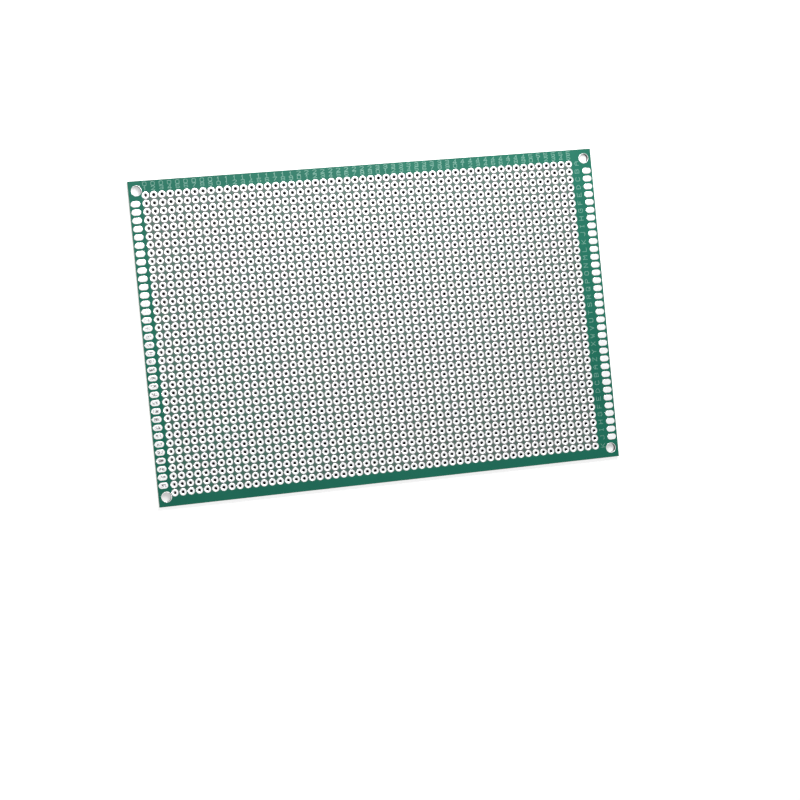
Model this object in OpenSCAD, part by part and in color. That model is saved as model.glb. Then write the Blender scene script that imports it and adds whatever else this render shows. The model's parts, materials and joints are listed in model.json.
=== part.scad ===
// Double-sided prototyping board: a drilled, green coated glass-epoxy panel with a square
// grid of tinned plated-through pads, oval pads along both short edges and four corner
// holes. Millimetres. The board lies flat, +X along its length, +Z up. The origin is the
// centre of its outline, at the level that its lower pads rest on.

/* [Panel] */
// Length of the panel along X
board_l = 150; // [100:1:200]
// Width of the panel along Y
board_w = 100; // [70:1:140]
// Thickness of the panel with its solder mask, without the pads
core_t = 1.5; // [0.6:0.05:3.2]

/* [Hole grid] */
// Distance between neighbouring hole centres, both ways
pitch = 2.54; // [2.5:0.01:5.08]
// Finished bore of a plated hole
hole_d = 1; // [0.7:0.05:1.2]
// Outer diameter of a round pad
pad_d = 2.3; // [1.6:0.05:2.35]
// Left edge of the panel to the first column of holes
margin_left = 5.15; // [5.15:0.05:8]
// Last column of holes to the right edge, with the strip for the row letters
margin_right = 7.69; // [5.15:0.01:12]
// Last row of holes to the far edge, with the strip for the column numbers
margin_far = 4.53; // [4.03:0.01:8]
// First row of holes to the near edge
margin_near = 4.03; // [4.03:0.01:8]

/* [Edge pads] */
// Length of an oval edge pad, towards the middle of the board
edge_pad_l = 3; // [2.4:0.1:3.3]
// Width of an oval edge pad, along the edge
edge_pad_w = 1.95; // [1:0.05:2.2]
// Bare strip between an oval edge pad and the edge of the panel
edge_gap = 0.35; // [0:0.05:0.4]
// Rows at each end of the grid that have no oval pad beside them
end_rows_bare = 1; // [1:1:6]

/* [Corner holes] */
// Finished bore of a corner hole
corner_d = 3; // [2:0.1:3]
// Width of the tinned rim around a corner hole
corner_rim = 0.15; // [0.11:0.01:0.19]
// Corner hole centre to the short edge
corner_inset_x = 2.5; // [2.2:0.05:2.5]
// Corner hole centre to the long edge
corner_inset_y = 3; // [2.4:0.1:3]

/* [Plating] */
// Thickness of the plated wall inside a hole
plating_t = 0.05; // [0.02:0.01:0.1]
// Height of the tinned pads above each face
foil_t = 0.05; // [0.03:0.01:0.15]

/* [Hidden] */
$fn = 32;
eps = 0.001; // keeps a whole number of pitches from rounding down

// Grid: as many columns and rows as fit between the margins, centred in that field
field_l = board_l - margin_left - margin_right;
field_w = board_w - margin_near - margin_far;
cols = floor(field_l / pitch + eps) + 1;
rows = floor(field_w / pitch + eps) + 1;
grid_x = (margin_left - margin_right) / 2;
grid_y = (margin_near - margin_far) / 2;

// Heights
core_z = foil_t;
top_z = core_z + core_t;

// Radii and offsets
hole_r = hole_d / 2;
drill_r = hole_r + plating_t;
pad_r = pad_d / 2;
corner_r = corner_d / 2;
corner_drill_r = corner_r + plating_t;
corner_rim_r = corner_r + corner_rim;
corner_x = board_l / 2 - corner_inset_x;
corner_y = board_w / 2 - corner_inset_y;
edge_pad_x = board_l / 2 - edge_gap - edge_pad_l / 2;

// Rows are numbered from 1, at the far edge
function col_x(c) = grid_x + (c - (cols + 1) / 2) * pitch;
function row_y(r) = grid_y + ((rows + 1) / 2 - r) * pitch;
function row_name(r) = str("pads_row_", r < 10 ? "0" : "", r);

// A place at each hole of the grid
module at_grid() {
    for (r = [1:rows], c = [1:cols]) translate([col_x(c), row_y(r)]) children();
}

// A place at each corner hole
module at_corners() {
    for (sx = [-1, 1], sy = [-1, 1]) translate([sx * corner_x, sy * corner_y]) children();
}

// A place at each edge pad of one side: -1 is the left edge and 1 the right
module at_edge_pads(side) {
    for (r = [1 + end_rows_bare:rows - end_rows_bare]) translate([side * edge_pad_x, row_y(r)]) children();
}

// Outline of an oval edge pad
module oval() {
    reach = (edge_pad_l - edge_pad_w) / 2;
    square([2 * reach, edge_pad_w], center = true);
    for (s = [-1, 1]) translate([s * reach, 0]) circle(d = edge_pad_w);
}

// Plated hole with a flat land on both faces: inner bore, wall in the panel and two rims
module eyelet(bore_r, wall_r, land_r) {
    rotate_extrude() polygon([
        [bore_r, 0], [land_r, 0], [land_r, core_z], [wall_r, core_z],
        [wall_r, top_z], [land_r, top_z], [land_r, top_z + foil_t], [bore_r, top_z + foil_t]
    ]);
}

// Glass-epoxy panel with every drilled hole, coated green on both faces
module laminate() {
    color("seagreen") difference() {
        translate([-board_l / 2, -board_w / 2, core_z]) cube([board_l, board_w, core_t]);
        at_grid() drill(drill_r);
        at_corners() drill(corner_drill_r);
    }
}

// Cutter for one hole, which runs past both faces of the panel
module drill(r) {
    translate([0, 0, core_z - 1]) cylinder(h = core_t + 2, r = r);
}

// One row of plated-through pads
module pads_row(r) {
    color("gainsboro") for (c = [1:cols]) translate([col_x(c), row_y(r)]) eyelet(hole_r, drill_r, pad_r);
}

// Oval pads of one side, on both faces
module edge_pads(side) {
    color("gainsboro") for (z = [0, top_z]) at_edge_pads(side) translate([0, 0, z]) linear_extrude(foil_t) oval();
}

// Plated corner holes, with a narrow rim on both faces
module corner_eyelets() {
    color("gainsboro") at_corners() eyelet(corner_r, corner_drill_r, corner_rim_r);
}

edge_pads(-1);  // edge_pads_left
edge_pads(1);  // edge_pads_right
corner_eyelets();
for (r = [1:rows]) pads_row(r);
laminate();
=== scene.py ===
import json
import math

import bpy
import numpy as np
from mathutils import Matrix, Vector
from mathutils.geometry import delaunay_2d_cdt


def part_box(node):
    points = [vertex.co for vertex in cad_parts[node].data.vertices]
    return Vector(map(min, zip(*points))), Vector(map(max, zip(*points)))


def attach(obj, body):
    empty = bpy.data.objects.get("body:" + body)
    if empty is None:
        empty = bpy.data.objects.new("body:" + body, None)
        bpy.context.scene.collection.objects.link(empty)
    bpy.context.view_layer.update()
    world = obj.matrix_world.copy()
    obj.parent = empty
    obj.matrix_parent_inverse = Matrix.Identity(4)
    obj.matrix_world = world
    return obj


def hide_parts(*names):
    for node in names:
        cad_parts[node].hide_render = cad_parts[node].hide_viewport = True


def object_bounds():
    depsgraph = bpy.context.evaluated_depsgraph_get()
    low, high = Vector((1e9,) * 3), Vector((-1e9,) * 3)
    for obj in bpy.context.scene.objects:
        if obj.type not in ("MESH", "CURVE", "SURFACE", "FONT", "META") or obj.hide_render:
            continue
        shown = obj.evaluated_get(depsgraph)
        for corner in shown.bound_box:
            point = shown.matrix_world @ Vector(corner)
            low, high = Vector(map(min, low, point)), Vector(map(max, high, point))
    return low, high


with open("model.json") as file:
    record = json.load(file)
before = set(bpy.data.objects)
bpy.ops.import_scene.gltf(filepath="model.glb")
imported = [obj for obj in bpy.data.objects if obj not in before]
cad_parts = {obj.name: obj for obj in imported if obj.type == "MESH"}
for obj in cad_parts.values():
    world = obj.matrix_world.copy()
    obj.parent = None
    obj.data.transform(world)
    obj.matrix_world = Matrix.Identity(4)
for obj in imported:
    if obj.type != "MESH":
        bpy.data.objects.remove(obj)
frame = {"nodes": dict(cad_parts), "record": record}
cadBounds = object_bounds()
mm = 0.001

# The board as the frame gives it: faces of the panel, places of the pads, sizes of the holes
panelLow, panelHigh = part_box("laminate")
faceTop, faceBottom = panelHigh.z, panelLow.z
mounts = {mount["name"]: mount for mount in frame["record"]["mounts"]}
leadGrid, cornerHoles = mounts["lead_grid"]["dims"], mounts["corner_holes"]["dims"]
rowNames = sorted(name for name in frame["nodes"] if name.startswith("pads_row_"))
rowBoxes = [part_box(name) for name in rowNames]
rowY = np.array([(low.y + high.y) / 2 for low, high in rowBoxes])
pitch = leadGrid["spacing_x_mm"] * mm
padRadius = (rowBoxes[0][1].y - rowBoxes[0][0].y) / 2
firstX, lastX = rowBoxes[0][0].x + padRadius, rowBoxes[0][1].x - padRadius
columnX = np.linspace(firstX, lastX, round((lastX - firstX) / pitch) + 1)
padTop, padBottom = rowBoxes[0][1].z, rowBoxes[0][0].z
ovalBoxes = {side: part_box(f"edge_pads_{side}") for side in ("left", "right")}
print("frame:", len(rowY), "rows of", len(columnX), "pads")


# every pair of an x and a y, as an array of points
def places(xs, ys):
    gridX, gridY = np.meshgrid(xs, ys)
    return np.stack([gridX.ravel(), gridY.ravel()], axis=1)


# points (n, 3) and faces become one mesh object at the origin: an array of faces for each number of
# corners; finish gives each face its material, and a face marked flat keeps its own shade
def meshPiece(name, points, *faces, finish=None, flat=None):
    corners = np.concatenate([group.ravel() for group in faces]).astype(np.int32)
    widths = np.concatenate([np.full(len(group), group.shape[1], dtype=np.int32) for group in faces])
    mesh = bpy.data.meshes.new(name)
    mesh.vertices.add(len(points))
    mesh.vertices.foreach_set("co", np.ascontiguousarray(points, dtype=np.float32).ravel())
    mesh.loops.add(len(corners))
    mesh.loops.foreach_set("vertex_index", corners)
    mesh.polygons.add(len(widths))
    mesh.polygons.foreach_set("loop_start", np.cumsum(widths, dtype=np.int32) - widths)
    mesh.polygons.foreach_set("use_smooth", np.ones(len(widths), dtype=bool) if flat is None else ~flat)
    if finish is not None:
        mesh.polygons.foreach_set("material_index", finish.astype(np.int32))
    mesh.update(calc_edges=True)
    piece = bpy.data.objects.new(name, mesh)
    bpy.context.scene.collection.objects.link(piece)
    return piece


# a piece gets its materials
def dress(piece, slotName, *finishes):
    for material in finishes:
        piece.data.materials.append(material)
    return piece


# faces between neighbouring closed rings of points: ring i, step j meets ring i + 1, step j + 1,
# and the last ring meets the first where the section is closed
def ringQuads(rings, around, closed):
    ring, step = np.meshgrid(np.arange(rings if closed else rings - 1), np.arange(around), indexing="ij")
    nextRing, nextStep = (ring + 1) % rings, (step + 1) % around
    corners = ((ring, step), (ring, nextStep), (nextRing, nextStep), (nextRing, step))
    return np.stack([i * around + j for i, j in corners], axis=-1).reshape(-1, 4)


# a closed section of (radius, height) pairs turned about z: x = r cos a, y = r sin a, z = h
def turned(section, around):
    section = np.asarray(section)
    angle = math.tau * np.arange(around) / around
    x = section[:, :1] * np.cos(angle)
    y = section[:, :1] * np.sin(angle)
    z = np.repeat(section[:, 1:], around, axis=1)
    return np.stack([x, y, z], axis=-1).reshape(-1, 3), ringQuads(len(section), around, True)


# one small surface copied to every spot: turned by that spot's angle a, then moved there,
# x' = x cos a - y sin a + spot x, y' = x sin a + y cos a + spot y
def repeated(points, quads, spots, turns):
    cosine, sine = np.cos(turns)[:, None], np.sin(turns)[:, None]
    x = cosine * points[:, 0] - sine * points[:, 1] + spots[:, :1]
    y = sine * points[:, 0] + cosine * points[:, 1] + spots[:, 1:2]
    z = np.broadcast_to(points[:, 2], x.shape)
    faces = quads[None] + (np.arange(len(spots)) * len(points))[:, None, None]
    return np.stack([x, y, z], axis=-1), faces.reshape(-1, 4)


# what stands proud of either face by h ends up at gain h, and all between the faces stays
def settled(z, gain):
    return z - (1 - gain) * (np.clip(z - faceTop, 0, None) - np.clip(faceBottom - z, 0, None))


# a new material with its node tree and its shader
def newMaterial(name):
    material = bpy.data.materials.new(name)
    material.use_nodes = True
    return material, material.node_tree, material.node_tree.nodes["Principled BSDF"]


# one node whose inputs are links or plain values, in order; None leaves an input as it is
def made(tree, kind, *inputs, **settings):
    fresh = tree.nodes.new(kind)
    for key, value in settings.items():
        setattr(fresh, key, value)
    for socket, value in zip(fresh.inputs, inputs):
        if isinstance(value, bpy.types.NodeSocket):
            tree.links.new(value, socket)
        elif value is not None:
            socket.default_value = value
    return fresh.outputs[0]


# one arithmetic node over links or plain values
def maths(tree, operation, *inputs):
    return made(tree, "ShaderNodeMath", *inputs, operation=operation)


# the object's own coordinates, whole or along one axis
def objectPlace(tree, axis=None):
    vector = tree.nodes.new("ShaderNodeTexCoord").outputs["Object"]
    if axis is None:
        return vector
    parts = tree.nodes.new("ShaderNodeSeparateXYZ")
    tree.links.new(vector, parts.inputs[0])
    return parts.outputs[axis]


# a value carried in a straight line from one range into another, and kept inside it:
# low + (value - fromLow) / (fromHigh - fromLow) * (high - low)
def ranged(tree, value, fromLow, fromHigh, low, high):
    return made(tree, "ShaderNodeMapRange", value, fromLow, fromHigh, low, high)


# where nearly all values of the noise lie
noiseLow, noiseHigh = 0.3, 0.7


# the group that every finish shares: noise over the object's own coordinates, in cycles per
# metre and stretched along each axis, carried into the range from Low to High
def grainGroup():
    group = bpy.data.node_groups.new("finish_grain", "ShaderNodeTree")
    for name, value in (("Scale", 1000.0), ("Detail", 3.0), ("Low", 0.0), ("High", 1.0)):
        group.interface.new_socket(name, in_out="INPUT", socket_type="NodeSocketFloat").default_value = value
    stretch = group.interface.new_socket("Stretch", in_out="INPUT", socket_type="NodeSocketVector")
    stretch.default_value = (1.0, 1.0, 1.0)
    group.interface.new_socket("Value", in_out="OUTPUT", socket_type="NodeSocketFloat")
    given = group.nodes.new("NodeGroupInput").outputs
    noise = group.nodes.new("ShaderNodeTexNoise")
    stretched = made(group, "ShaderNodeMapping", objectPlace(group), None, None, given["Stretch"])
    group.links.new(stretched, noise.inputs["Vector"])
    group.links.new(given["Scale"], noise.inputs["Scale"])
    group.links.new(given["Detail"], noise.inputs["Detail"])
    value = ranged(group, noise.outputs["Fac"], noiseLow, noiseHigh, given["Low"], given["High"])
    group.links.new(value, group.nodes.new("NodeGroupOutput").inputs["Value"])
    return group


finishGrain = grainGroup()


# the shared grain placed in one material, with that finish's own values
def grain(tree, scale, low=0.0, high=1.0, detail=3.0, stretch=(1.0, 1.0, 1.0)):
    placed = tree.nodes.new("ShaderNodeGroup")
    placed.node_tree = finishGrain
    values = {"Scale": scale, "Detail": detail, "Low": low, "High": high, "Stretch": stretch}
    for name, value in values.items():
        placed.inputs[name].default_value = value
    return placed.outputs["Value"]


# where the mix node keeps its factor, its two colours and its mixed colour
mixFactor, mixFirst, mixSecond, mixResult = 0, 6, 7, 2


# two colours, each a link or a plain triple, mixed by a factor f: first (1 - f) + second f
def mixed(tree, factor, first, second):
    mix = tree.nodes.new("ShaderNodeMix")
    mix.data_type = "RGBA"
    for place, value in ((mixFactor, factor), (mixFirst, first), (mixSecond, second)):
        if isinstance(value, bpy.types.NodeSocket):
            tree.links.new(value, mix.inputs[place])
        else:
            mix.inputs[place].default_value = (*value, 1.0)
    return mix.outputs[mixResult]


# the normal tilted by the slope of a height, which runs over the given distance from 0 to 1
def bumped(tree, height, strength, distance):
    bump = tree.nodes.new("ShaderNodeBump")
    bump.inputs["Strength"].default_value = strength
    bump.inputs["Distance"].default_value = distance
    tree.links.new(height, bump.inputs["Height"])
    return bump.outputs["Normal"]


tinFinish = {
    "light": (0.92, 0.925, 0.93), "dull": (0.82, 0.83, 0.84), "line": (0.05, 0.045, 0.05),
    "roughLow": 0.20, "roughHigh": 0.38, "patches": 900.0, "specks": 2600.0,
    "dimples": 1500.0, "dimpleStrength": 0.25, "dimpleDepth": 0.02 * mm,
}
# painted reflection: dark streaks in the tin's line colour on the left oval pads, strongest towards the near
# end
ovalReflection = {
    "scale": 1200.0, "core": 0.08, "width": 0.21, "reachX": 1.0 * mm, "reachY": 0.55 * mm, "fullWithin": 0.6,
    "noneFrom": 14 * mm, "mostFrom": -2 * mm, "strength": 0.95,
}


# how far a value lies from a middle value, either way: |value - middle|
def offFrom(tree, value, middle):
    return maths(tree, "ABSOLUTE", maths(tree, "SUBTRACT", value, middle))


# how far a value lies from the nearest line of the pads' grid: value - start, folded back and
# forth over half a pitch
def offGrid(tree, value, start):
    return maths(tree, "PINGPONG", maths(tree, "SUBTRACT", value, start), pitch / 2)


# painted reflection: dark streaks mirrored in the uneven tin, where the noise lies close to its middle
# value, in the heart of each oval pad of the left edge, where |dx| and |dy| from its middle are within
# reach; more of them towards the near end, and none on the corner rim beyond the last oval
def paintedOvalReflections(tree):
    low, high = ovalBoxes["left"]
    x, y = objectPlace(tree, "X"), objectPlace(tree, "Y")
    shares = [
        maths(tree, "DIVIDE", offFrom(tree, x, (low.x + high.x) / 2), ovalReflection["reachX"]),
        maths(tree, "DIVIDE", offGrid(tree, y, rowY[-1]), ovalReflection["reachY"]),
    ]
    inHeart = ranged(tree, maths(tree, "MAXIMUM", *shares), ovalReflection["fullWithin"], 1.0, 1.0, 0.0)
    inHeart = maths(tree, "MULTIPLY", inHeart, maths(tree, "GREATER_THAN", y, low.y))
    offMiddle = offFrom(tree, grain(tree, ovalReflection["scale"], detail=1.0), 0.5)
    line = ranged(tree, offMiddle, ovalReflection["core"], ovalReflection["width"], 1.0, 0.0)
    towardsNear = ranged(tree, y, ovalReflection["noneFrom"], ovalReflection["mostFrom"], 0.0, ovalReflection["strength"])
    return maths(tree, "MULTIPLY", maths(tree, "MULTIPLY", line, inHeart), towardsNear)


# levelled tin: bright metal with soft cloudy patches, painted dark reflections on the left oval pads and
# shallow dimples
def tinMaterial():
    material, tree, shader = newMaterial("levelled_tin")
    tone = mixed(tree, grain(tree, tinFinish["patches"]), tinFinish["light"], tinFinish["dull"])
    tree.links.new(mixed(tree, paintedOvalReflections(tree), tone, tinFinish["line"]), shader.inputs["Base Color"])
    rough = grain(tree, tinFinish["specks"], tinFinish["roughLow"], tinFinish["roughHigh"])
    tree.links.new(rough, shader.inputs["Roughness"])
    dimples = grain(tree, tinFinish["dimples"])
    normal = bumped(tree, dimples, tinFinish["dimpleStrength"], tinFinish["dimpleDepth"])
    tree.links.new(normal, shader.inputs["Normal"])
    shader.inputs["Metallic"].default_value = 1.0
    return material


# plated walls of the holes, darkened as painted shade: near black in the lead holes, grey in the corner
# holes
paintedBoreShade = {
    "bore_painted_shade": {"light": (0.050, 0.045, 0.045), "dark": (0.012, 0.011, 0.011), "roughness": 0.6},
    "corner_bore_painted_shade": {"light": (0.30, 0.29, 0.29), "dark": (0.16, 0.15, 0.15), "roughness": 0.5},
}
borePatches, boreGloss = 1800.0, 0.2


# the plated wall inside a hole: dull, and darker than the pad around it, a painted shade inside the hole
def boreMaterial(name):
    material, tree, shader = newMaterial(name)
    tone = mixed(tree, grain(tree, borePatches), paintedBoreShade[name]["light"], paintedBoreShade[name]["dark"])
    tree.links.new(tone, shader.inputs["Base Color"])
    shader.inputs["Specular IOR Level"].default_value = boreGloss
    shader.inputs["Roughness"].default_value = paintedBoreShade[name]["roughness"]
    return material


coatFinish = {
    "green": (0.009, 0.190, 0.122), "deep": (0.006, 0.160, 0.104), "patches": 60.0,
    "thread": (0.06, 0.30, 0.20), "weave": 0.42 * mm, "weaveTone": 0.06,
    "roughLow": 0.40, "roughHigh": 0.50, "roughPatches": 400.0, "gloss": 0.22,
    "ripples": 700.0, "rippleStrength": 0.10, "rippleDepth": 0.02 * mm,
    "faceFrom": 0.45, "faceTo": 0.55,
}
# painted glow of the bright pads on the coat, dimmed towards the near left corner as painted shade
paintedPadGlow = {
    "tone": (0.27, 0.235, 0.245), "atPad": 0.86, "between": 0.26, "reach": 0.55 * mm,
    "cornerDim": 0.4, "dimFrom": -115 * mm, "fullFrom": -30 * mm,
}
sawnFinish = {
    "resin": (0.74, 0.75, 0.72), "glass": (0.56, 0.57, 0.54), "roughness": 0.75,
    "layers": 7000.0, "alongLayers": 0.06, "coatLip": 0.035 * mm, "lipBlend": 0.4,
}


# length of the vector (x, y)
def vectorLength(tree, x, y):
    length = tree.nodes.new("ShaderNodeVectorMath")
    length.operation = "LENGTH"
    tree.links.new(made(tree, "ShaderNodeCombineXYZ", x, y), length.inputs[0])
    return length.outputs["Value"]


# painted glow of the bright round pads on the coat between them: the place is folded into one cell of
# the grid, where |(dx, dy)| - radius is the distance from the pad; it ends at the outer pads, and
# thins out towards the near left corner, where x + y is least, which paints shade there
def paintedGlowBetweenPads(tree):
    x, y = objectPlace(tree, "X"), objectPlace(tree, "Y")
    fromMiddle = vectorLength(tree, offGrid(tree, x, firstX), offGrid(tree, y, rowY[-1]))
    fromPad = maths(tree, "SUBTRACT", fromMiddle, padRadius)
    film = ranged(tree, fromPad, 0.0, paintedPadGlow["reach"], paintedPadGlow["atPad"], paintedPadGlow["between"])
    beyond = [
        maths(tree, "SUBTRACT", offFrom(tree, place, (first + last) / 2), (last - first) / 2)
        for place, first, last in ((x, firstX, lastX), (y, rowY[-1], rowY[0]))
    ]
    inField = ranged(tree, maths(tree, "MAXIMUM", *beyond), 0.0, padRadius, 1.0, 0.0)
    spread = ranged(tree, maths(tree, "ADD", x, y), paintedPadGlow["dimFrom"], paintedPadGlow["fullFrom"], paintedPadGlow["cornerDim"], 1.0)
    return maths(tree, "MULTIPLY", maths(tree, "MULTIPLY", film, inField), spread)


# green coat where the surface faces up or down, over a faint glass weave, with a painted glow of the
# pads between them; layers of glass and resin on the sawn sides, with a thin lip of coat at both faces
def panelMaterial():
    material, tree, shader = newMaterial("panel_coat")
    parts = tree.nodes.new("ShaderNodeSeparateXYZ")
    tree.links.new(tree.nodes.new("ShaderNodeTexCoord").outputs["Normal"], parts.inputs[0])
    upright = maths(tree, "ABSOLUTE", parts.outputs["Z"])
    onFace = ranged(tree, upright, coatFinish["faceFrom"], coatFinish["faceTo"], 0.0, 1.0)
    fromMiddle = offFrom(tree, objectPlace(tree, "Z"), (faceTop + faceBottom) / 2)
    lipStart = (faceTop - faceBottom) / 2 - sawnFinish["coatLip"]
    lipEnd = lipStart + sawnFinish["lipBlend"] * sawnFinish["coatLip"]
    coated = maths(tree, "MAXIMUM", onFace, ranged(tree, fromMiddle, lipStart, lipEnd, 0.0, 1.0))
    green = mixed(tree, grain(tree, coatFinish["patches"]), coatFinish["green"], coatFinish["deep"])
    threads = [
        maths(tree, "SINE", maths(tree, "MULTIPLY", objectPlace(tree, axis), math.tau / coatFinish["weave"]))
        for axis in ("X", "Y")
    ]
    weave = ranged(tree, maths(tree, "MULTIPLY", *threads), -1.0, 1.0, 0.0, coatFinish["weaveTone"])
    green = mixed(tree, weave, green, coatFinish["thread"])
    # painted glow of the pads mixed into the coat, weaker towards the near left corner as painted shade
    green = mixed(tree, paintedGlowBetweenPads(tree), green, paintedPadGlow["tone"])
    stretch = (sawnFinish["alongLayers"], sawnFinish["alongLayers"], 1.0)
    strata = grain(tree, sawnFinish["layers"], detail=2.0, stretch=stretch)
    sawn = mixed(tree, strata, sawnFinish["resin"], sawnFinish["glass"])
    tree.links.new(mixed(tree, coated, sawn, green), shader.inputs["Base Color"])
    coatRough = grain(tree, coatFinish["roughPatches"], coatFinish["roughLow"], coatFinish["roughHigh"])
    sawnRough = ranged(tree, coated, 0.0, 1.0, sawnFinish["roughness"], 0.0)
    tree.links.new(maths(tree, "MAXIMUM", coatRough, sawnRough), shader.inputs["Roughness"])
    ripples = grain(tree, coatFinish["ripples"])
    normal = bumped(tree, ripples, coatFinish["rippleStrength"], coatFinish["rippleDepth"])
    tree.links.new(normal, shader.inputs["Normal"])
    shader.inputs["Specular IOR Level"].default_value = coatFinish["gloss"]
    return material


inkFinish = {"pale": (0.24, 0.50, 0.40), "worn": (0.11, 0.35, 0.27), "roughness": 0.5, "patches": 2200.0}


# pale index ink, thin enough for the green to show through it here and there
def inkMaterial():
    material, tree, shader = newMaterial("index_ink")
    tone = mixed(tree, grain(tree, inkFinish["patches"]), inkFinish["pale"], inkFinish["worn"])
    tree.links.new(tone, shader.inputs["Base Color"])
    shader.inputs["Roughness"].default_value = inkFinish["roughness"]
    return material


tin, coat, ink = tinMaterial(), panelMaterial(), inkMaterial()
bore, cornerBore = (boreMaterial(name) for name in paintedBoreShade)
print("materials: tin, panel coat, ink and the plating of both kinds of hole")

drilling = {"gridSides": 8, "cornerSides": 32, "plating": 0.05 * mm}


# clockwise corners of a polygon about each spot, whose sides touch the circle of that radius:
# they stand radius / cos(pi / sides) from it
def holeLoops(spots, radius, sides):
    angle = -math.tau * (np.arange(sides) + 0.5) / sides
    ring = radius / math.cos(math.pi / sides) * np.stack([np.cos(angle), np.sin(angle)], axis=1)
    return spots[:, None] + ring


# for each point of a row of closed loops: its loop, its own place and that of the point after it
def loopOrder(loops):
    sizes = np.array([len(loop) for loop in loops])
    loopOf = np.repeat(np.arange(len(loops)), sizes)
    here, first = np.arange(sizes.sum()), np.repeat(np.cumsum(sizes) - sizes, sizes)
    return loopOf, here, first + (here - first + 1) % sizes[loopOf]


# the plan cut into triangles along every loop, without those whose corners are all on one hole;
# loop 0 is the outline
def planTriangles(plan, loopOf, edges):
    insideEdges, tolerance = 1, 1e-6
    corners = [Vector(point) for point in plan / mm]
    triangles = np.array(delaunay_2d_cdt(corners, edges.tolist(), [], insideEdges, tolerance, False)[2])
    owner = loopOf[triangles]
    ofOneHole = (owner[:, 0] > 0) & (owner == owner[:, :1]).all(axis=1)
    return triangles[~ofOneHole]


# the panel with each hole drilled through: the plan's triangles at both faces, and a wall from each
# point of a loop to the next; the holes leave room for the plated walls
def drilledPanel():
    halfX, halfY = cornerHoles["spacing_x_mm"] * mm / 2, cornerHoles["spacing_y_mm"] * mm / 2
    cornerRadius = cornerHoles["hole_r_mm"] * mm + drilling["plating"]
    gridRadius = leadGrid["hole_r_mm"] * mm + drilling["plating"]
    loops = [
        np.array([(-1, -1), (1, -1), (1, 1), (-1, 1)]) * (panelHigh.x, panelHigh.y),
        *holeLoops(places([-halfX, halfX], [-halfY, halfY]), cornerRadius, drilling["cornerSides"]),
        *holeLoops(places(columnX, rowY), gridRadius, drilling["gridSides"]),
    ]
    plan = np.concatenate(loops)
    loopOf, here, following = loopOrder(loops)
    triangles = planTriangles(plan, loopOf, np.stack([here, following], axis=1))
    points = np.concatenate([np.insert(plan, 2, level, axis=1) for level in (faceBottom, faceTop)])
    faces = np.concatenate([triangles[:, ::-1], triangles + len(plan)])
    walls = np.stack([here, following, following + len(plan), here + len(plan)], axis=1)
    flat = np.ones(len(faces) + len(walls), dtype=bool)
    piece = meshPiece("drilled_panel", points, faces, walls, flat=flat)
    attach(dress(piece, "coated_laminate", coat), "root")
    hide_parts("laminate")
    print("panel holes:", len(loops) - 1)


drilledPanel()

roundPad = {
    "around": 12, "shoulder": 0.10 * mm, "lipRise": 0.7,
    "spread": 0.22, "outOfRound": 0.02, "seed": 7,
    "groups": {"far": (0, 9), "upper": (9, 18), "lower": (18, 27), "near": (27, 37)},
}


# closed section of a plated hole, from the upper pad's rim inwards, down the bore and out again:
# the tin rises over a shoulder to its crown, and sinks towards the lip of the bore
def platedSection(boreRadius, landRadius, shape):
    rise = np.array([0.0, 1.0, shape["lipRise"]])
    radii = [landRadius, landRadius - shape["shoulder"], boreRadius]
    upper = list(zip(radii, faceTop + rise * (padTop - faceTop)))
    lower = list(zip(radii, faceBottom + rise * (padBottom - faceBottom)))[::-1]
    return upper + lower


# which faces of a plated section lie in the bore, and which are hidden in the panel
def platedFaces(around, copies):
    sectionSides, boreSide, hiddenSide = 6, 2, 5
    side = np.tile(np.repeat(np.arange(sectionSides), around), copies)
    return side == boreSide, side == hiddenSide


# rows of plated holes in groups, each hole turned, a little out of round and of its own height
def roundPads():
    random = np.random.default_rng(roundPad["seed"])
    section = platedSection(leadGrid["hole_r_mm"] * mm, padRadius, roundPad)
    points, quads = turned(section, roundPad["around"])
    angle = np.arctan2(points[:, 1], points[:, 0])
    points[:, :2] *= 1 - roundPad["outOfRound"] * (1 + np.cos(2 * angle))[:, None] / 2
    for name, (first, last) in roundPad["groups"].items():
        spots = places(columnX, rowY[first:last])
        surface, faces = repeated(points, quads, spots, random.uniform(0, math.tau, len(spots)))
        gain = 1 - roundPad["spread"] * random.random((len(spots), 1))
        surface[..., 2] = settled(surface[..., 2], gain)
        inBore, hidden = platedFaces(roundPad["around"], len(spots))
        allPoints = surface.reshape(-1, 3)
        piece = meshPiece(f"round_pads_{name}", allPoints, faces, finish=inBore, flat=hidden)
        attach(dress(piece, "tinned_copper", tin, bore), "root")
        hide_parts(*rowNames[first:last])
        print("round pads,", name, "rows:", len(spots))


roundPads()

cornerRim = {"around": 48, "shoulder": 0.04 * mm, "lipRise": 0.8}


# the four plated corner holes, each turned from the same kind of section as the pads
def cornerRims():
    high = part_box("corner_eyelets")[1]
    halfX, halfY = cornerHoles["spacing_x_mm"] * mm / 2, cornerHoles["spacing_y_mm"] * mm / 2
    section = platedSection(cornerHoles["hole_r_mm"] * mm, high.x - halfX, cornerRim)
    spots = places([-halfX, halfX], [-halfY, halfY])
    surface, faces = repeated(*turned(section, cornerRim["around"]), spots, np.zeros(len(spots)))
    inBore, hidden = platedFaces(cornerRim["around"], len(spots))
    piece = meshPiece("corner_rims", surface.reshape(-1, 3), faces, finish=inBore, flat=hidden)
    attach(dress(piece, "tinned_copper", tin, cornerBore), "root")
    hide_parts("corner_eyelets")
    print("corner holes:", len(spots))


cornerRims()

ovalPad = {
    "around": 16, "insets": (0.0, 0.10, 0.28, 0.60), "rises": (0.0, 0.62, 0.90, 1.0),
    "spread": 0.25, "seed": 11,
}


# width of one oval pad: what the box of a side's pads has beyond whole steps of the grid
def ovalWidth(low, high):
    return (high.y - low.y) - math.floor((high.y - low.y) / pitch) * pitch


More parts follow.
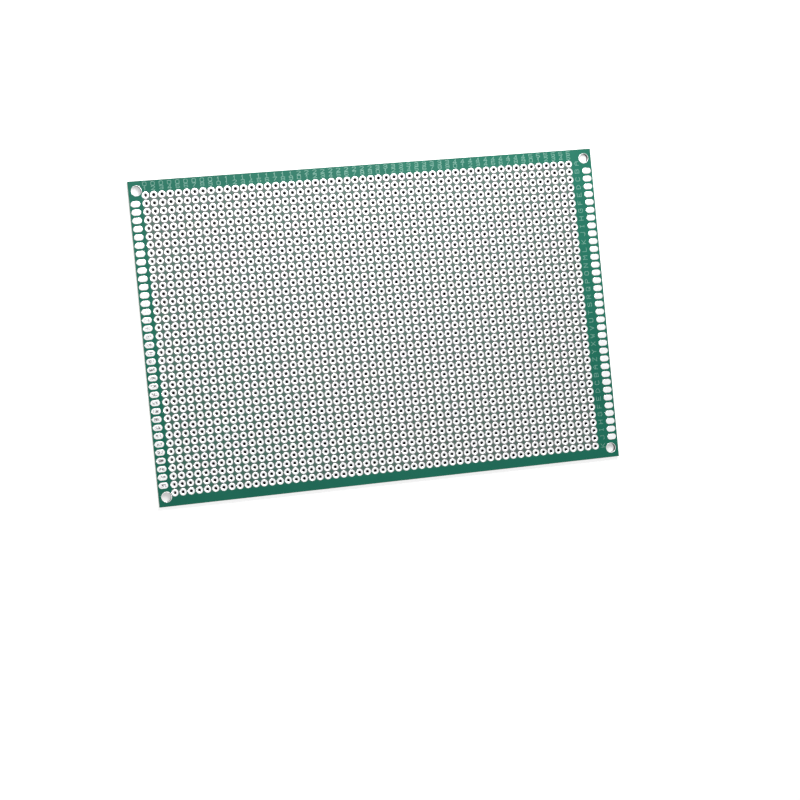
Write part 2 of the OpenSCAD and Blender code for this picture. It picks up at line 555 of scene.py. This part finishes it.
# one closed oval pad: rings of a straight-sided oval, x = s reach + r cos a, y = r sin a, whose
# radius shrinks as the height rises, closed above and below by strips between mirrored points
def ovalSurface(reach, radius, base, crown):
    around, rings = ovalPad["around"], len(ovalPad["insets"])
    angle = math.tau * (np.arange(around) + 0.5) / around
    ringRadius = radius * (1 - np.array(ovalPad["insets"]))[:, None]
    x = np.sign(np.cos(angle)) * reach + ringRadius * np.cos(angle)
    y = ringRadius * np.sin(angle)
    z = np.repeat((base + np.array(ovalPad["rises"]) * (crown - base))[:, None], around, axis=1)
    i = np.arange(around // 2 - 1)
    strip = np.stack([i, i + 1, around - 2 - i, around - 1 - i], axis=1)
    quads = np.concatenate([ringQuads(rings, around, False), strip + (rings - 1) * around, strip[:, ::-1]])
    hidden = np.arange(len(quads)) >= len(quads) - len(strip)
    return np.stack([x, y, z], axis=-1).reshape(-1, 3), quads, hidden


# the oval pads of one side, on both faces of the panel
def ovalPads(side):
    low, high = ovalBoxes[side]
    radius = ovalWidth(low, high) / 2
    reach = (high.x - low.x) / 2 - radius
    spots = places([(low.x + high.x) / 2], rowY[(rowY > low.y) & (rowY < high.y)])
    random = np.random.default_rng(ovalPad["seed"])
    surfaces, faces, flat = [], [], []
    for base, crown, step in ((faceTop, padTop, 1), (faceBottom, padBottom, -1)):
        points, quads, hidden = ovalSurface(reach, radius, base, crown)
        surface, copied = repeated(points, quads[:, ::step], spots, np.zeros(len(spots)))
        surface[..., 2] = settled(surface[..., 2], 1 - ovalPad["spread"] * random.random((len(spots), 1)))
        faces.append(copied + sum(map(len, surfaces)))
        surfaces.append(surface.reshape(-1, 3))
        flat.append(np.tile(hidden, len(spots)))
    points, quads, hidden = np.concatenate(surfaces), np.concatenate(faces), np.concatenate(flat)
    piece = meshPiece(f"oval_pads_{side}", points, quads, flat=hidden)
    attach(dress(piece, "tinned_copper", tin), "root")
    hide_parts(f"edge_pads_{side}")
    print("oval pads,", side, "edge:", len(spots), "on each face")


for side in ovalBoxes:
    ovalPads(side)

indexMark = {
    "digitHeight": 1.15 * mm, "digitWidth": 1.10 * mm, "digitRows": (1.05 * mm, 2.42 * mm),
    "letterHeight": 1.35 * mm, "letterWidth": 1.15 * mm, "line": 0.19 * mm,
    "film": 0.012 * mm, "thinnest": 0.6, "levelStep": 0.618,
}
# strokes of each mark on a grid 4 wide and 6 high: two figures for each corner of a stroke
strokes = {
    "0": "010516364541301001", "1": "142620", "2": "05163645440040", "3": "0516364544334241301001,1333",
    "4": "30360141", "5": "460603334241301001", "6": "4536160501103041423303", "7": "064610",
    "8": "13040516364544331302011030414233", "9": "4313040516364541301001", "A": "0004264440,0343",
    "B": "00063645443303,3342413000", "C": "4536160501103041", "D": "00062644422000", "E": "46060040,0333",
    "F": "460600,0333", "G": "45361605011030414323", "H": "0006,4046,0343", "I": "2026,1030,1636",
    "J": "4641301001", "K": "0006,4602,1340", "L": "060040", "M": "0006234640", "N": "00064046",
    "O": "010516364541301001", "P": "00063645443303", "Q": "010516364541301001,2240",
    "R": "00063645443303,2340", "S": "453616050413334241301001", "T": "0646,2620", "U": "060110304146",
    "V": "062046", "W": "0610243046", "X": "0046,0640", "Y": "062346,2320", "Z": "06460040",
}


# the two ends of each straight stretch of a mark, in a cell of unit size about its middle, then
# sized, turned by a quarter where it stands on its side, and moved to its spot
def markEnds(mark, width, height, spot, onItsSide=False):
    stretches = []
    for stroke in strokes[mark].split(","):
        corners = np.array([int(figure) for figure in stroke], dtype=float).reshape(-1, 2)
        stretches.append(np.stack([corners[:-1], corners[1:]], axis=1))
    ends = (np.concatenate(stretches) / (4, 6) - 0.5) * (width, height)
    if onItsSide:
        ends = np.stack([-ends[..., 1], ends[..., 0]], axis=-1)
    return ends + spot


# flat closed bars along every stretch: corners at a - w d / 2 and b + w d / 2, half a line w to each
# side, where d is the direction from a to b; bar k is film (t + (1 - t) (k step modulo 1)) thick,
# so that no two tops that cross share one level
def inkBars(ends, width, film):
    start, stop = ends[:, 0], ends[:, 1]
    along = (stop - start) / np.linalg.norm(stop - start, axis=1, keepdims=True) * width / 2
    across = np.stack([-along[:, 1], along[:, 0]], axis=1)
    start, stop = start - along, stop + along
    outline = np.stack([start - across, stop - across, stop + across, start + across], axis=1)
    low = np.concatenate([outline, np.full((*outline.shape[:2], 1), faceTop)], axis=2)
    high, thinnest = low.copy(), indexMark["thinnest"]
    share = thinnest + (1 - thinnest) * (indexMark["levelStep"] * np.arange(len(ends)) % 1)
    high[..., 2] += film * share[:, None]
    points = np.concatenate([low, high], axis=1)
    bar = np.array([[0, 3, 2, 1], [4, 5, 6, 7], [0, 1, 5, 4], [1, 2, 6, 5], [2, 3, 7, 6], [3, 0, 4, 7]])
    quads = bar[None] + 8 * np.arange(len(points))[:, None, None]
    return points.reshape(-1, 3), quads.reshape(-1, 4)


# column numbers in two stacked figures along the far edge, and row letters on their sides at
# the right edge, one step of the grid beyond the last column
def indexMarks():
    ends = []
    for column, x in enumerate(columnX):
        for figure, drop in zip(f"{column + 1:02d}", indexMark["digitRows"]):
            spot = (x, panelHigh.y - drop)
            ends.append(markEnds(figure, indexMark["digitWidth"], indexMark["digitHeight"], spot))
    for row, y in enumerate(rowY):
        letter, spot = chr(ord("A") + row % 26), (lastX + pitch, y)
        ends.append(markEnds(letter, indexMark["letterWidth"], indexMark["letterHeight"], spot, True))
    points, quads = inkBars(np.concatenate(ends), indexMark["line"], indexMark["film"])
    piece = meshPiece("index_marks", points, quads, flat=np.ones(len(quads), dtype=bool))
    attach(dress(piece, "index_ink", ink), "root")
    print("index marks:", len(ends))


indexMarks()

# floorShade: darker paper under the field of holes, a painted shadow seen through the lead holes
studio = {
    "reach": 6.0, "floor": (0.86, 0.86, 0.86), "floorShade": (0.30, 0.30, 0.30), "floorRoughness": 0.9,
    "floorGlow": 0.78, "glowUnder": 0.50, "world": 0.10,
}
lights = {
    "softbox": {"place": (0.04, 0.15, 0.20), "size": (0.18, 0.14), "power": 0.64},
    "fill": {"place": (-0.34, -0.02, 0.03), "size": (0.20, 0.03), "power": 0.4},
}


# how far a place lies beyond a box about the origin: the larger of |x| - half x and |y| - half y
def beyondBox(tree, halfX, halfY):
    sides = [
        maths(tree, "SUBTRACT", maths(tree, "ABSOLUTE", objectPlace(tree, axis)), half)
        for axis, half in (("X", halfX), ("Y", halfY))
    ]
    return maths(tree, "MAXIMUM", *sides)


# a wide plane at the board's lowest level: white paper to the eye, which keeps the board's
# shadow, glows less under the board and, as painted shadow, stays dark under the field of holes
def studioFloor():
    corners = np.array([(-1, -1, 0), (1, -1, 0), (1, 1, 0), (-1, 1, 0)]) * studio["reach"]
    floor = meshPiece("floor", corners + (0, 0, cadBounds[0].z), np.array([[0, 1, 2, 3]]))
    material, tree, shader = newMaterial("floor_paper")
    shader.inputs["Roughness"].default_value = studio["floorRoughness"]
    shader.inputs["Specular IOR Level"].default_value = 0.0
    path = tree.nodes.new("ShaderNodeLightPath").outputs
    seen = maths(tree, "MAXIMUM", path["Is Camera Ray"], path["Is Glossy Ray"])
    # painted shadow: darker paper, and no glow, under the field of holes
    besideField = maths(tree, "GREATER_THAN", beyondBox(tree, -firstX, rowY[0] + padRadius), 0.0)
    tone = mixed(tree, besideField, studio["floorShade"], studio["floor"])
    tree.links.new(tone, shader.inputs["Base Color"])
    besideBoard = maths(tree, "GREATER_THAN", beyondBox(tree, panelHigh.x, panelHigh.y), 0.0)
    level = ranged(tree, besideBoard, 0.0, 1.0, studio["glowUnder"], studio["floorGlow"])
    glow = maths(tree, "MULTIPLY", maths(tree, "MULTIPLY", seen, besideField), level)
    shader.inputs["Emission Color"].default_value = (1.0, 1.0, 1.0, 1.0)
    tree.links.new(glow, shader.inputs["Emission Strength"])
    floor.data.materials.append(material)


# a plain white room: full white to the eye and in reflections, softer as a light
def studioWorld():
    world = bpy.data.worlds.new("room")
    bpy.context.scene.world = world
    world.use_nodes = True
    tree = world.node_tree
    path = tree.nodes.new("ShaderNodeLightPath").outputs
    seen = maths(tree, "MAXIMUM", path["Is Camera Ray"], path["Is Glossy Ray"])
    seen = maths(tree, "MAXIMUM", seen, path["Is Transmission Ray"])
    background = tree.nodes["Background"]
    background.inputs["Color"].default_value = (1.0, 1.0, 1.0, 1.0)
    tree.links.new(ranged(tree, seen, 0.0, 1.0, studio["world"], 1.0), background.inputs["Strength"])


# a softbox above the far right and a low fill at the left, each turned to the board's middle
def studioLights():
    for name, shape in lights.items():
        light = bpy.data.lights.new(name, "AREA")
        light.shape = "RECTANGLE"
        light.size, light.size_y = shape["size"]
        light.energy = shape["power"]
        lamp = bpy.data.objects.new(name, light)
        lamp.location = shape["place"]
        lamp.rotation_euler = (-Vector(shape["place"])).to_track_quat("-Z", "Y").to_euler()
        bpy.context.scene.collection.objects.link(lamp)


view = {
    "place": (-0.15216, -0.01195, 0.61255), "aim": (0.00381, -0.02469, 0.0016),
    "up": (0.09848, 0.99513, 0.00439), "lens": 90.0, "sensor": 36.0, "nearest": 0.01,
}


# the camera looks from its place to the aim, and its upper edge leans to the up direction
def studioCamera():
    data = bpy.data.cameras.new("camera")
    data.lens = view["lens"]
    data.sensor_width = view["sensor"]
    data.clip_start = view["nearest"]
    camera = bpy.data.objects.new("camera", data)
    forward = (Vector(view["aim"]) - Vector(view["place"])).normalized()
    right = forward.cross(Vector(view["up"])).normalized()
    turn = Matrix((right, right.cross(forward), -forward)).transposed().to_4x4()
    camera.matrix_world = Matrix.Translation(view["place"]) @ turn
    bpy.context.scene.collection.objects.link(camera)
    bpy.context.scene.camera = camera


studioFloor()
studioWorld()
studioLights()
studioCamera()
bpy.context.scene.view_settings.view_transform = "Standard"
print("studio: floor, room, softbox, fill and camera")
